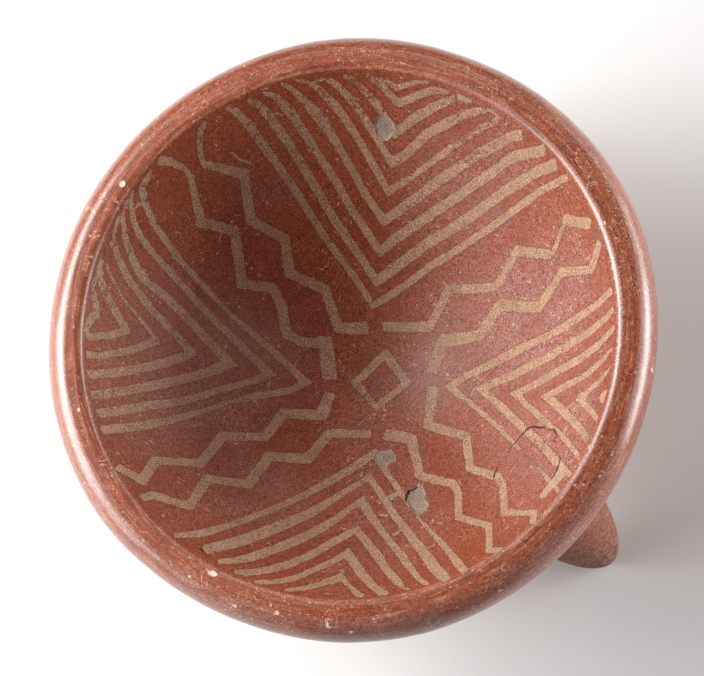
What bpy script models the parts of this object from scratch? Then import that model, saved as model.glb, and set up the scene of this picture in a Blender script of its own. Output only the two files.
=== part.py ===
# Tripod bowl of fired clay, one piece: a deep bowl with a rolled lip, standing on three splayed legs.
# Metres, +Z up. The origin is on the floor under the middle of the bowl, and one leg points to -Y.

import math

import bmesh
import bpy
import numpy as np
from mathutils import Matrix, Vector

# Driving sizes, in metres, degrees or plain ratios
RIM_DIAMETER = 0.260        # across the lip at its widest line
RIM_LINE_HEIGHT = 0.126     # from the floor up to that widest line
LIP_REACH = 0.010           # how far the rolled lip stands out from its own middle
LIP_RISE = 0.0108           # from the widest line up to the lip's top
LIP_DROP = 0.0086           # from the widest line down to the lip's underside
NECK_LENGTH = 0.009         # height of the hollow curve that joins the lip's underside to the wall
BEAD_INSET = 0.0149         # from the widest line in to the small bead that edges the inside
BEAD_RADIUS = 0.0013        # rounding of that bead
BEAD_STEP = 0.0015          # how far the bead stands above the lip's top
GROOVE_DEPTH = 0.0006       # how far the groove between lip and bead lies below the lip's top
CAVITY_DEPTH = 0.0959       # from the bead's top down to the middle of the inside
CAVITY_FULLNESS = 2.05      # power of the inside curve: 2 is a parabola, more is a fuller bowl
WALL = 0.008                # thickness of the wall, square to its surface
LEG_COUNT = 3
LEG_SPREAD = 0.1191         # from the bowl's middle line out to each leg's tip
LEG_SPLAY = 25.0            # lean of each leg, outwards from upright
LEG_RADIUS = 0.022          # half the thickness of a leg at its root
LEG_BLUNTNESS = 0.55        # power of the leg's outline: lower is blunter at the tip
FOOT_WEAR = 0.0012          # how much of each tip is worn away flat where it stands
FRONT_LEG = -90.0           # direction of the first leg, from +X

# Unevenness left by the hand: lobes round the rim, height of each wave, turn of its crest
RIM_WAVES = ((3, 0.0003, -118.0), (4, 0.0004, -117.0), (6, 0.0002, 161.0))

# How finely the round forms are cut into facets
STEPS_ROUND = 72
STEPS_CAVITY = 11
STEPS_WALL = 10
STEPS_LIP = 9
STEPS_BEAD = 4
STEPS_NECK = 3
LEG_STEPS_ROUND = 24
LEG_STEPS_LONG = 9
FINE_STEPS = 200

# Sizes that follow from the ones above
RIM_RADIUS = RIM_DIAMETER / 2
LIP_MIDDLE = RIM_RADIUS - LIP_REACH
LIP_TOP = RIM_LINE_HEIGHT + LIP_RISE
LIP_UNDERSIDE = RIM_LINE_HEIGHT - LIP_DROP
BEAD_MIDDLE = RIM_RADIUS - BEAD_INSET
BEAD_TOP = LIP_TOP + BEAD_STEP
MOUTH_RADIUS = BEAD_MIDDLE - BEAD_RADIUS
MOUTH_HEIGHT = BEAD_TOP - BEAD_RADIUS
CAVITY_BOTTOM = BEAD_TOP - CAVITY_DEPTH
CAVITY_RISE = MOUTH_HEIGHT - CAVITY_BOTTOM

CLAY_RED = (0.29, 0.075, 0.04, 1.0)


def clear_scene():
    for old in list(bpy.data.objects):
        bpy.data.objects.remove(old, do_unlink=True)


def inside_height(radius):
    """Height of the bowl's inner surface at a distance from its middle line."""
    return CAVITY_BOTTOM + CAVITY_RISE * (radius / MOUTH_RADIUS) ** CAVITY_FULLNESS


def inside_slope(radius):
    """Steepness of the inner surface there."""
    return CAVITY_RISE * CAVITY_FULLNESS / MOUTH_RADIUS * (radius / MOUTH_RADIUS) ** (CAVITY_FULLNESS - 1)


def wall_point(radius, depth):
    """The point this deep in the wall, square behind the inner surface at that radius."""
    lean = math.atan(inside_slope(radius))
    return radius + depth * math.sin(lean), inside_height(radius) - depth * math.cos(lean)


def wall_curve(depth, steps):
    """Points from the middle line up to the mouth, following the wall at one depth."""
    return [wall_point(MOUTH_RADIUS * step / steps, depth) for step in range(steps + 1)]


def wall_radius(height, depth):
    """Distance from the middle line to the wall, at one depth in it and one height."""
    curve = np.array(wall_curve(depth, FINE_STEPS))
    return float(np.interp(height, curve[:, 1], curve[:, 0]))


def arc(centre, reach, rise, start, end, steps):
    """Points along part of an ellipse, from one angle in degrees to another."""
    angles = np.radians(np.linspace(start, end, steps + 1))
    return [(centre[0] + reach * math.cos(a), centre[1] + rise * math.sin(a)) for a in angles]


def neck_curve(start, corner, end, steps):
    """A hollow curve that leaves start towards corner and arrives at end."""
    points = []
    for step in range(1, steps):
        t = step / steps
        blend = [(1 - t) ** 2 * a + 2 * t * (1 - t) * b + t ** 2 * c for a, b, c in zip(start, corner, end)]
        points.append(tuple(blend))
    return points


def outer_outline():
    """The outside, from under the middle up the wall, round the lip and over the bead to the mouth."""
    neck_start = LIP_UNDERSIDE - NECK_LENGTH
    levels = np.linspace(0, 1, STEPS_WALL + 1)
    foot_of_neck = wall_radius(neck_start, WALL)
    curve = np.array(wall_curve(WALL, FINE_STEPS))
    radii = foot_of_neck * levels
    wall = [(float(r), float(np.interp(r, curve[:, 0], curve[:, 1]))) for r in radii]
    underside = arc((LIP_MIDDLE, RIM_LINE_HEIGHT), LIP_REACH, LIP_DROP, -75, 0, STEPS_LIP // 3)
    neck = neck_curve(wall[-1], (wall_radius(LIP_UNDERSIDE, WALL), LIP_UNDERSIDE), underside[0], STEPS_NECK)
    shoulder = arc((LIP_MIDDLE, RIM_LINE_HEIGHT), LIP_REACH, LIP_RISE, 0, 78, STEPS_LIP - STEPS_LIP // 3)
    groove_radius = (LIP_MIDDLE + BEAD_MIDDLE + BEAD_RADIUS) / 2
    groove = [(groove_radius, LIP_TOP - GROOVE_DEPTH)]
    bead = arc((BEAD_MIDDLE, BEAD_TOP - BEAD_RADIUS), BEAD_RADIUS, BEAD_RADIUS, 15, 180, STEPS_BEAD)
    return wall + neck + underside + shoulder[1:] + groove + bead


def inner_outline():
    """The inside, from the mouth down to the middle."""
    radii = MOUTH_RADIUS * np.linspace(1, 0, STEPS_CAVITY + 1)
    return [(float(r), inside_height(r)) for r in radii[1:]]


def turned(name, outline, steps=STEPS_ROUND):
    """A closed solid made by turning an outline about the upright middle line."""
    shape = bmesh.new()
    points = [shape.verts.new((max(r, 0.0), 0.0, z)) for r, z in outline]
    edges = [shape.edges.new(pair) for pair in zip(points, points[1:])]
    bmesh.ops.spin(shape, geom=points + edges, cent=(0, 0, 0), axis=(0, 0, 1), angle=math.tau,
                   steps=steps, use_merge=True)
    bmesh.ops.remove_doubles(shape, verts=shape.verts, dist=1e-6)
    bmesh.ops.recalc_face_normals(shape, faces=shape.faces)
    mesh = bpy.data.meshes.new(name)
    shape.to_mesh(mesh)
    shape.free()
    solid = bpy.data.objects.new(name, mesh)
    bpy.context.scene.collection.objects.link(solid)
    return solid


def uneven_by_hand(solid):
    """Moves each point a little in or out, as the potter's hand left it, then centres the rim."""
    for point in solid.data.vertices:
        place = point.co
        angle = math.atan2(place.y, place.x)
        wave = sum(height * math.cos(lobes * (angle - math.radians(turn)))
                   for lobes, height, turn in RIM_WAVES)
        radius = math.hypot(place.x, place.y)
        if radius > 0:
            share = 1 + wave * min(radius / RIM_RADIUS, 1) / radius
            place.x *= share
            place.y *= share
    corners = [point.co.copy() for point in solid.data.vertices]
    middle = [(min(c[i] for c in corners) + max(c[i] for c in corners)) / 2 for i in (0, 1)]
    solid.data.transform(Matrix.Translation((-middle[0], -middle[1], 0)))


def leg_length():
    """Distance along a leg from its tip to the outside of the wall."""
    lean = math.radians(LEG_SPLAY)
    for step in range(FINE_STEPS):
        along = RIM_LINE_HEIGHT * step / FINE_STEPS / math.cos(lean)
        height = along * math.cos(lean)
        if wall_radius(height, WALL) > LEG_SPREAD - along * math.sin(lean):
            return along
    return RIM_LINE_HEIGHT


def leg_outline():
    """A bullet: round at the tip, thickening to the root, and running on into the wall."""
    length = leg_length()
    fractions = np.linspace(0, 1, LEG_STEPS_LONG + 1) ** 1.6
    points = [(LEG_RADIUS * (1 - (1 - f) ** 2) ** LEG_BLUNTNESS, length * f) for f in fractions]
    sunk = length + 1.2 * LEG_RADIUS
    return points + [(LEG_RADIUS, sunk), (0.0, sunk)]


def leg(number):
    """One leg, tipped outwards, its tip a little under the floor where the wear will cut it."""
    outline = leg_outline()
    solid = turned(f"leg_form_{number}", outline, LEG_STEPS_ROUND)
    lean = Matrix.Rotation(math.radians(-LEG_SPLAY), 4, "Y")
    turn = Matrix.Rotation(math.radians(FRONT_LEG + 360 / LEG_COUNT * number), 4, "Z")
    stand = Matrix.Translation((LEG_SPREAD, 0, -FOOT_WEAR))
    solid.data.transform(turn @ stand @ lean)
    return solid


def floor_form():
    """A block under the floor, which cuts the worn flats of the feet."""
    mesh = bpy.data.meshes.new("floor_form")
    shape = bmesh.new()
    bmesh.ops.create_cube(shape, size=1.0)
    shape.to_mesh(mesh)
    shape.free()
    side = 2 * RIM_DIAMETER
    depth = LEG_RADIUS
    mesh.transform(Matrix.Translation((0, 0, -depth / 2)) @ Matrix.Diagonal(Vector((side, side, depth, 1))))
    block = bpy.data.objects.new("floor_form", mesh)
    bpy.context.scene.collection.objects.link(block)
    return block


def core_form():
    """Everything inside the middle of the wall, so that a leg's root ends within the clay."""
    curve = wall_curve(WALL / 2, STEPS_WALL)
    top = BEAD_TOP + LIP_RISE
    return turned("core_form", curve + [(curve[-1][0], top), (0.0, top)])


def hide(cutter):
    cutter.hide_render = True
    cutter.display_type = "WIRE"


def combine(solid, other, operation):
    step = solid.modifiers.new(f"{operation.lower()} {other.name}", "BOOLEAN")
    step.operation = operation
    step.object = other
    step.solver = "EXACT"
    hide(other)


def fired_clay():
    material = bpy.data.materials.new("burnished_red_clay")
    material.use_nodes = True
    shader = material.node_tree.nodes["Principled BSDF"]
    shader.inputs["Base Color"].default_value = CLAY_RED
    shader.inputs["Roughness"].default_value = 0.42
    shader.inputs["Metallic"].default_value = 0.0
    return material


def main():
    clear_scene()
    bowl = turned("tripod_bowl", outer_outline() + inner_outline())
    uneven_by_hand(bowl)
    core = core_form()
    hide(core)
    for number in range(LEG_COUNT):
        limb = leg(number)
        combine(limb, core, "DIFFERENCE")
        combine(bowl, limb, "UNION")
    combine(bowl, floor_form(), "DIFFERENCE")
    bowl.data.materials.append(fired_clay())
    bowl.data.shade_smooth()
    bowl.data.set_sharp_from_angle(angle=math.radians(40))


main()
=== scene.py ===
# %% [markdown]
# # Dressing a painted tripod bowl
# The object is a deep bowl of fired red clay that stands on three splayed legs. Its inside is painted
# with a small square, four pairs of zigzags and four nests of chevrons in cream slip.
# The plain form comes from the CAD frame. Here the bowl is modelled again, fine enough to carry the
# hand-made unevenness, the old damage and the painting, and then it gets its clay, slip and paint.

# %% The frame
import math

import bpy
import numpy as np
from mathutils import Matrix, Quaternion, Vector, noise


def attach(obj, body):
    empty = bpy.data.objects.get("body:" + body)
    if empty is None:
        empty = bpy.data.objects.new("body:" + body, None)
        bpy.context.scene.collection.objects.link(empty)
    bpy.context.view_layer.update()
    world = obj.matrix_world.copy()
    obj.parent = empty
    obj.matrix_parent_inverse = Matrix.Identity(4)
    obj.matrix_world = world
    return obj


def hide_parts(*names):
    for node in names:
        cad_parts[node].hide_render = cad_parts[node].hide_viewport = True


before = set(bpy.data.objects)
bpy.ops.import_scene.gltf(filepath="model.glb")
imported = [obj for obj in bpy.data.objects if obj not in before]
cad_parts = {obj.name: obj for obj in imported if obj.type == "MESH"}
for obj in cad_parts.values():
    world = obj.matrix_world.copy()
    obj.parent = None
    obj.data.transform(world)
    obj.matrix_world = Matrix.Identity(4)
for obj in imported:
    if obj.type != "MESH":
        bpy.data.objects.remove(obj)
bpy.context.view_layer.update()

# %% [markdown]
# ## The camera
# The photograph was taken from high above the bowl, with a long lens, and the bowl was turned in the
# frame. A camera can be aimed by hand or by a Track To constraint. Here the direction and the turn
# are worked out, because both are known as angles.

# %% The camera
MM = 0.001
RIM_LINE_HEIGHT = 126 * MM          # the widest line of the lip
CAMERA_DISTANCE = 2.6
CAMERA_AZIMUTH, CAMERA_ELEVATION, CAMERA_TURN = (math.radians(a) for a in (-15.2, 74.62, -37.22))
AIM_RIGHT, AIM_UP = -0.168 * MM, -0.504 * MM
LENS, FILM_WIDTH = 316.4, 36        # in mm
SIGHT = 20                          # how far the camera sees, in metres


def direction(azimuth, elevation):
    """A direction from the bowl outwards, seen from the front at azimuth nought."""
    flat = math.cos(elevation)
    return Vector((math.sin(azimuth) * flat, -math.cos(azimuth) * flat, math.sin(elevation)))


bpy.ops.object.select_all(action="DESELECT")
bpy.ops.object.camera_add()
camera = bpy.context.object
back = direction(CAMERA_AZIMUTH, CAMERA_ELEVATION)
turned = (-back).to_track_quat("-Z", "Y") @ Quaternion((0, 0, 1), CAMERA_TURN)
camera.rotation_mode = "QUATERNION"
camera.rotation_quaternion = turned
camera.location = (Vector((0, 0, RIM_LINE_HEIGHT)) + back * CAMERA_DISTANCE
                   + turned @ Vector((AIM_RIGHT, AIM_UP, 0)))
camera.data.sensor_width, camera.data.lens, camera.data.clip_end = FILM_WIDTH, LENS, SIGHT
bpy.context.scene.camera = camera
print("camera at", [round(c, 3) for c in camera.location])

# %% [markdown]
# ## The bowl's profile
# A bowl shaped by coiling and scraping is nearly round, so it can start as a turned form. The line
# that is turned runs from the inside up to a small bead, over a groove and a heavy rolled lip, and
# down the outside. The inside is close to a parabola, and the outside follows it at the wall's
# thickness.

# %% Measures of the profile
RIM_RADIUS = 130 * MM
LIP_MIDDLE, LIP_REACH, LIP_RISE, LIP_DROP = 120 * MM, 10 * MM, 11.6 * MM, 8.6 * MM
MOUTH_RADIUS, BEAD_MIDDLE, BEAD_TOP = 113.8 * MM, 116.4 * MM, 137.74 * MM
INSIDE_END = MOUTH_RADIUS - 0.6 * MM
BEAD_CREST, BEAD_BACK = (BEAD_MIDDLE, BEAD_TOP - 0.05 * MM), (117.4 * MM, 137.70 * MM)
BEAD_PULL, BACK_PULL = (114.1 * MM, 137.3 * MM), (116.9 * MM, 137.73 * MM)
GROOVE_PULL = (118.4 * MM, 137.60 * MM)
SHOULDER_START, BELLY_END = 93, -75 # degrees round the lip's roll
CAVITY_BOTTOM, CAVITY_RISE, CAVITY_POWER = 42.4 * MM, 94.6 * MM, 2.05
WALL = 8 * MM
NECK_LENGTH = 9 * MM
MIDDLE_RADIUS = 30 * MM             # where the finely turned part ends


def inside_height(radius):
    """Height of the inside at a distance from the bowl's middle line."""
    return CAVITY_BOTTOM + CAVITY_RISE * (radius / MOUTH_RADIUS) ** CAVITY_POWER


def inside_lean(radius):
    """Angle at which the inside climbs there."""
    return np.arctan(CAVITY_RISE * CAVITY_POWER / MOUTH_RADIUS
                     * (radius / MOUTH_RADIUS) ** (CAVITY_POWER - 1))


def wall_line(depth, radii):
    """Points this deep in the wall, square behind the inside at those distances."""
    lean = inside_lean(radii)
    return np.stack([radii + depth * np.sin(lean), inside_height(radii) - depth * np.cos(lean)], axis=1)


def lengths_along(line):
    """How far along a line each of its points is."""
    return np.concatenate([[0], np.cumsum(np.hypot(*np.diff(line, axis=0).T))])


def evenly(line, spacing):
    """The same line with its points a constant distance apart."""
    lengths = lengths_along(line)
    stops = np.linspace(0, lengths[-1], max(2, round(lengths[-1] / spacing) + 1))
    return np.stack([np.interp(stops, lengths, line[:, side]) for side in (0, 1)], axis=1)


def arc(centre, reach, rise, start, end):
    """Part of an ellipse, from one angle in degrees to another."""
    angles = np.radians(np.linspace(start, end, 90))
    return np.stack([centre[0] + reach * np.cos(angles), centre[1] + rise * np.sin(angles)], axis=1)


def hollow(start, pull, end):
    """A curve that leaves start towards pull and arrives at end."""
    t = np.linspace(0, 1, 40)[:, None]
    return (1 - t) ** 2 * np.array(start) + 2 * t * (1 - t) * np.array(pull) + t ** 2 * np.array(end)


inside = wall_line(0, np.linspace(MIDDLE_RADIUS, INSIDE_END, 400))
outside = wall_line(WALL, np.linspace(0, MOUTH_RADIUS, 800))
lip_foot = RIM_LINE_HEIGHT - LIP_DROP
neck_foot = lip_foot - NECK_LENGTH
lip_roll = (LIP_MIDDLE, RIM_LINE_HEIGHT)
shoulder = arc(lip_roll, LIP_REACH, LIP_RISE, SHOULDER_START, 0)
belly = arc(lip_roll, LIP_REACH, LIP_DROP, 0, BELLY_END)
bead = np.concatenate([hollow(inside[-1], BEAD_PULL, BEAD_CREST),
                       hollow(BEAD_CREST, BACK_PULL, BEAD_BACK)[1:]])
groove = hollow(BEAD_BACK, GROOVE_PULL, shoulder[0])
under = outside[outside[:, 1] < neck_foot]
corner = (float(np.interp(lip_foot, outside[:, 1], outside[:, 0])), lip_foot)
neck = hollow(belly[-1], corner, under[-1])
print("wall at the neck:", round(under[-1][0] / MM, 1), "mm out;",
      "lip top:", round(shoulder[:, 1].max() / MM, 1))

# %% [markdown]
# ## Turning the bowl
# The profile is drawn as a pencil line would be: one point is extruded again and again. Mesh Spin
# turns the line an eighth of the way round, and three doublings close the circle, which is far
# quicker than one long spin. The painted inside and the lip need fine steps, the hidden outside does
# not, and a fine spin gathers slivers at its middle. So the outside and the middle of the inside are
# turned apart with fewer steps, and the rings are bridged.

# %% Helpers for modelling
def hold(piece=None):
    """Let go of everything, then take hold of one piece."""
    bpy.ops.object.select_all(action="DESELECT")
    bpy.context.view_layer.objects.active = piece
    if piece:
        piece.select_set(True)


def places(piece, what="co"):
    """All the points of a piece, one row each, or with "normal" the ways they face."""
    flat = np.empty(len(piece.data.vertices) * 3)
    piece.data.vertices.foreach_get(what, flat)
    return flat.reshape(-1, 3)


def put(piece, points):
    """Moves all the points of a piece."""
    piece.data.vertices.foreach_set("co", points.ravel())
    piece.data.update()


def pick(piece, chosen):
    """Selects the chosen points, and the edges and faces that have all their corners among them."""
    mesh = piece.data
    ends = np.empty(len(mesh.edges) * 2, dtype=int)
    mesh.edges.foreach_get("vertices", ends)
    mesh.vertices.foreach_set("select", chosen)
    mesh.edges.foreach_set("select", chosen[ends.reshape(-1, 2)].all(axis=1))
    if mesh.polygons:
        corners = np.empty(len(mesh.loops), dtype=int)
        starts = np.empty(len(mesh.polygons), dtype=int)
        mesh.loops.foreach_get("vertex_index", corners)
        mesh.polygons.foreach_get("loop_start", starts)
        mesh.polygons.foreach_set("select", np.logical_and.reduceat(chosen[corners], starts))


def join(first, *others):
    """Makes one piece of several."""
    hold(first)
    for other in others:
        other.select_set(True)
    bpy.ops.object.join()


def in_edit_mode(piece, *steps):
    """Does the steps in edit mode, one after the other."""
    hold(piece)
    bpy.ops.object.mode_set(mode="EDIT")
    for step in steps:
        step()
    bpy.ops.object.mode_set(mode="OBJECT")


def draw_line(name, line):
    """A chain of points in the upright plane, drawn by extruding one point."""
    hold()
    bpy.ops.mesh.primitive_plane_add(size=MM)
    piece = bpy.context.object
    piece.name = name
    bpy.ops.object.mode_set(mode="EDIT")
    bpy.ops.mesh.merge(type="CENTER")
    bpy.ops.transform.translate(value=(line[0][0], 0, line[0][1]))
    for step in np.diff(line, axis=0):
        bpy.ops.mesh.extrude_region_move(TRANSFORM_OT_translate={"value": (step[0], 0, step[1])})
    bpy.ops.object.mode_set(mode="OBJECT")
    return piece


def turn_line(name, line, steps):
    """A surface of revolution about the bowl's middle line, in steps that are a multiple of 8."""
    piece = draw_line(name, line)
    hold(piece)
    bpy.ops.object.mode_set(mode="EDIT")
    bpy.ops.mesh.select_all(action="SELECT")
    bpy.ops.mesh.spin(steps=steps // 8, angle=math.tau / 8, center=(0, 0, 0), axis=(0, 0, 1))
    for share in (8, 4, 2):
        bpy.ops.mesh.select_all(action="SELECT")
        bpy.ops.mesh.duplicate()
        bpy.ops.transform.rotate(value=math.tau / share, orient_axis="Z", center_override=(0, 0, 0))
    bpy.ops.mesh.select_all(action="SELECT")
    bpy.ops.mesh.remove_doubles(threshold=0.001 * MM)
    bpy.ops.mesh.normals_make_consistent(inside=False)
    bpy.ops.object.mode_set(mode="OBJECT")
    return piece


# %% The turned bowl
FINE_STEPS, COARSE_STEPS = 480, 160
RIM_GAP, SAME_RING = 1.4 * MM, 0.02 * MM
spaced = ((inside, 1.45), (bead, 0.45), (groove, 0.6),
          (np.concatenate([shoulder, belly[1:]]), 1.1), (neck, 1.4))
profile = np.concatenate([inside[:1]] + [evenly(line, gap * MM)[1:] for line, gap in spaced])
bowl = turn_line("tripod_bowl_clay", profile, FINE_STEPS)
middle_line = evenly(wall_line(0, np.linspace(0, MIDDLE_RADIUS - RIM_GAP, 60)), 1.3 * MM)
outside_line = evenly(under[under[:, 1] < neck_foot - 2.4 * MM], 3.0 * MM)
join(bowl, turn_line("middle_of_the_inside", middle_line, COARSE_STEPS),
     turn_line("outside_of_the_wall", outside_line, COARSE_STEPS))
for ends in ((profile[0], middle_line[-1]), (profile[-1], outside_line[-1])):
    spots = places(bowl)
    ring = np.stack([np.hypot(spots[:, 0], spots[:, 1]), spots[:, 2]], axis=1)
    pick(bowl, np.any([np.hypot(*(ring - end).T) < SAME_RING for end in ends], axis=0))
    in_edit_mode(bowl, lambda: bpy.ops.mesh.select_mode(type="EDGE"), bpy.ops.mesh.bridge_edge_loops,
                 lambda: bpy.ops.mesh.select_mode(type="VERT"))
in_edit_mode(bowl, lambda: bpy.ops.mesh.select_all(action="SELECT"),
             lambda: bpy.ops.mesh.normals_make_consistent(inside=False))
print("turned bowl:", len(profile), "profile points,", len(bowl.data.polygons), "faces")

# %% [markdown]
# ## The legs
# Each leg is a solid bullet of clay, luted to the underside and leaning outwards. One leg is turned,
# tipped and copied. A boolean first cuts its root to the middle of the wall, and another joins the
# legs to the bowl, because real clay has no skin between them. Smoothing the seam then works the
# joint into a soft hollow, as wet fingers do. A bisect at the floor makes the worn flats.

# %% The legs
LEG_RADIUS, LEG_LENGTH, LEG_BLUNTNESS = 22 * MM, 86.2 * MM, 0.55
LEG_SPREAD, LEG_SPLAY = 119.1 * MM, math.radians(25)
FOOT_WEAR = 1.2 * MM
LEG_SUNK = LEG_LENGTH + 1.2 * LEG_RADIUS   # where its root ends in the wall
LEG_STEPS, CORE_STEPS = 56, 96
LEG_TURNS = [math.radians(a) for a in (-90, 30, 150)]


def leg_thickness(along):
    """Half the thickness of a leg at a distance from its tip."""
    share = np.clip(1 - along / LEG_LENGTH, 0, 1)
    return LEG_RADIUS * (1 - share ** 2) ** LEG_BLUNTNESS


def lean_of_leg(turn):
    """How a leg is tipped, stood out from the middle and turned to its place."""
    return (Matrix.Rotation(turn, 4, "Z") @ Matrix.Translation((LEG_SPREAD, 0, -FOOT_WEAR))
            @ Matrix.Rotation(-LEG_SPLAY, 4, "Y"))


def cut(piece, tool, operation):
    """An exact boolean, applied, after which the tool is put away."""
    hold(piece)
    step = piece.modifiers.new(operation.lower(), "BOOLEAN")
    step.operation, step.solver, step.object = operation, "EXACT", tool
    bpy.ops.object.modifier_apply(modifier=step.name)
    bpy.data.objects.remove(tool)


core_line = wall_line(WALL / 2, np.linspace(0, MOUTH_RADIUS, 40))
top = BEAD_TOP + LIP_RISE
along = LEG_LENGTH * np.linspace(0, 1, 30) ** 1.7
leg_line = np.concatenate([np.stack([leg_thickness(along), along], axis=1),
                           [[LEG_RADIUS, LEG_SUNK], [0, LEG_SUNK]]])
core_line = np.concatenate([core_line, [[core_line[-1][0], top], [0, top]]])
legs = []
for number, turn in enumerate(LEG_TURNS):
    leg = turn_line(f"leg_{number}", leg_line, LEG_STEPS)
    leg.matrix_world = lean_of_leg(turn)
    hold(leg)
    bpy.ops.object.transform_apply(location=True, rotation=True, scale=True)
    cut(leg, turn_line("core", core_line, CORE_STEPS), "DIFFERENCE")
    legs.append(leg)
join(*legs)
cut(bowl, legs[0], "UNION")
print("bowl with legs:", len(bowl.data.polygons), "faces")


# %% The joints and the feet
def off_wall(spots):
    """How far points stand off the outside of the wall."""
    out = np.hypot(spots[:, 0], spots[:, 1])
    line = wall_line(WALL, np.linspace(0, MOUTH_RADIUS, 500))
    wall_height = np.interp(out, line[:, 0], line[:, 1])
    return (wall_height - spots[:, 2]) * np.cos(inside_lean(np.minimum(out, MOUTH_RADIUS)))


def off_leg(spots):
    """How far points stand off the nearest leg, and how far along it they are."""
    nearest = np.full(len(spots), 1.0)
    reach = np.zeros(len(spots))
    for turn in LEG_TURNS:
        local = np.c_[spots, np.ones(len(spots))] @ np.array(lean_of_leg(turn).inverted()).T
        gap = np.hypot(local[:, 0], local[:, 1]) - leg_thickness(np.clip(local[:, 2], 0, LEG_LENGTH))
        closer = gap < nearest
        nearest[closer], reach[closer] = gap[closer], local[closer, 2]
    return nearest, reach


JOINT_WIDTH, JOINT_PASSES = 6.5 * MM, 24
spots = places(bowl)
joint = (np.abs(off_wall(spots)) < JOINT_WIDTH) & (np.abs(off_leg(spots)[0]) < JOINT_WIDTH)
pick(bowl, joint)
in_edit_mode(
    bowl,
    lambda: bpy.ops.mesh.vertices_smooth(factor=0.5, repeat=JOINT_PASSES),
    lambda: bpy.ops.mesh.select_all(action="SELECT"),
    lambda: bpy.ops.mesh.remove_doubles(threshold=0.02 * MM),
    lambda: bpy.ops.mesh.bisect(plane_co=(0, 0, 0), plane_no=(0, 0, 1), clear_inner=True, use_fill=True,
                                threshold=0.001 * MM),
)
print("points in the joints:", int(joint.sum()), "lowest point:", round(places(bowl)[:, 2].min() / MM, 3))

# %% [markdown]
# ## The hand in the clay
# No coiled bowl is truly round or smooth. The rim wanders by a few tenths of a millimetre, as the CAD
# form has it, and the surfaces carry broad shallow dents from scraping and burnishing. A Displace
# modifier could do this, but moving the points by soft noise in code keeps the rim's edges in place.

# %% The unevenness
RIM_WAVES = ((3, 0.3 * MM, -118), (4, 0.4 * MM, -117), (6, 0.2 * MM, 161))    # lobes, height, turn
BROAD, BROAD_WAVES, FINE, FINE_WAVES = 0.30 * MM, 28, 0.10 * MM, 110       # height, waves per metre
SCRAPED = 0.32 * MM                 # taken off everywhere, so that all dents go inwards
FOOT_KEPT = 6 * MM                  # the dents fade out below this height
spots = places(bowl)
angle = np.arctan2(spots[:, 1], spots[:, 0])
out = np.hypot(spots[:, 0], spots[:, 1])
wave = sum(height * np.cos(lobes * (angle - math.radians(turn))) for lobes, height, turn in RIM_WAVES)
grow = 1 + wave * np.minimum(out / RIM_RADIUS, 1) / np.maximum(out, MM)
spots[:, :2] *= grow[:, None]
spots[:, :2] -= (spots[:, :2].max(axis=0) + spots[:, :2].min(axis=0)) / 2
low = [noise.noise(Vector(spot) * BROAD_WAVES) for spot in spots]
fine = [noise.noise(Vector(spot) * FINE_WAVES + Vector((3, 7, 1))) for spot in spots]
dent = BROAD * np.array(low) + FINE * np.array(fine) - SCRAPED
dent *= np.clip(spots[:, 2] / FOOT_KEPT, 0, 1)
spots += places(bowl, "normal") * dent[:, None]
put(bowl, spots)
print("dents from", round(dent.min() / MM, 2), "to", round(dent.max() / MM, 2), "mm")

# %% [markdown]
# ## The painter's strokes
# The cream lines were brushed on before firing. Each stroke is written down by its middle line, in
# millimetres on the plan of the bowl, from one end to the other, with the brush's width where it
# changes. A picture could hold the pattern, but it would have one sharpness and one size, and
# strokes in code can be widened, worn and reused.

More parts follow.
